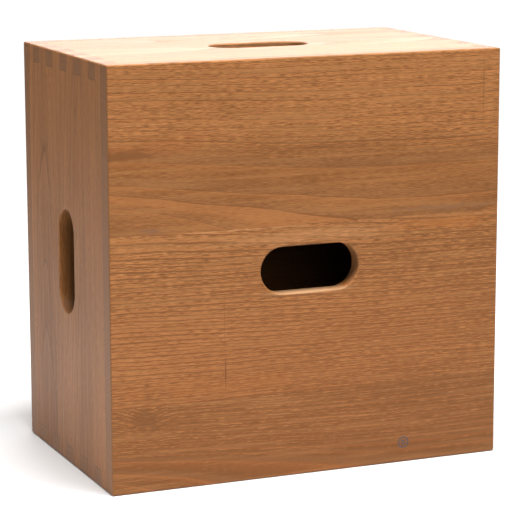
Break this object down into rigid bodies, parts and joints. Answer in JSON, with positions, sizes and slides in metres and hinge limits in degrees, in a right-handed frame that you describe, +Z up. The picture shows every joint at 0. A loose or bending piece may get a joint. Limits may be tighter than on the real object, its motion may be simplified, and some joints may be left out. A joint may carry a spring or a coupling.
{
  "type": "box stool",
  "caption": "Solid chestnut box stool: a dovetailed seat, base and sides closed by full front and back panels, with a rounded hand slot through every face.",
  "frame": {"origin": "middle of the base at the floor", "axes": "+Z up, +X to the right seen from the front, +Y to the back; the front face looks along -Y"},
  "size_m": [0.43, 0.27, 0.43],
  "materials": {
    "front_chestnut": "satin oil, no film",
    "back_chestnut": "satin oil, no film",
    "left_chestnut": "satin oil, no film",
    "right_chestnut": "satin oil, no film",
    "seat_chestnut": "satin oil, no film",
    "base_chestnut": "satin oil, no film",
    "beech_dowels": "raw, planed"
  },
  "bodies": {
    "root": {"front_board_upper": "front_chestnut", "front_board_middle": "front_chestnut", "front_board_lower": "front_chestnut", "back_board_upper": "back_chestnut", "back_board_middle": "back_chestnut", "back_board_lower": "back_chestnut", "left_board_front": "left_chestnut", "left_board_middle": "left_chestnut", "left_board_back": "left_chestnut", "right_board_front": "right_chestnut", "right_board_middle": "right_chestnut", "right_board_back": "right_chestnut", "seat_board_front": "seat_chestnut", "seat_board_middle": "seat_chestnut", "seat_board_back": "seat_chestnut", "base_board_front": "base_chestnut", "base_board_middle": "base_chestnut", "base_board_back": "base_chestnut", "front_dowels": "beech_dowels", "back_dowels": "beech_dowels"}
  },
  "joints": []
}
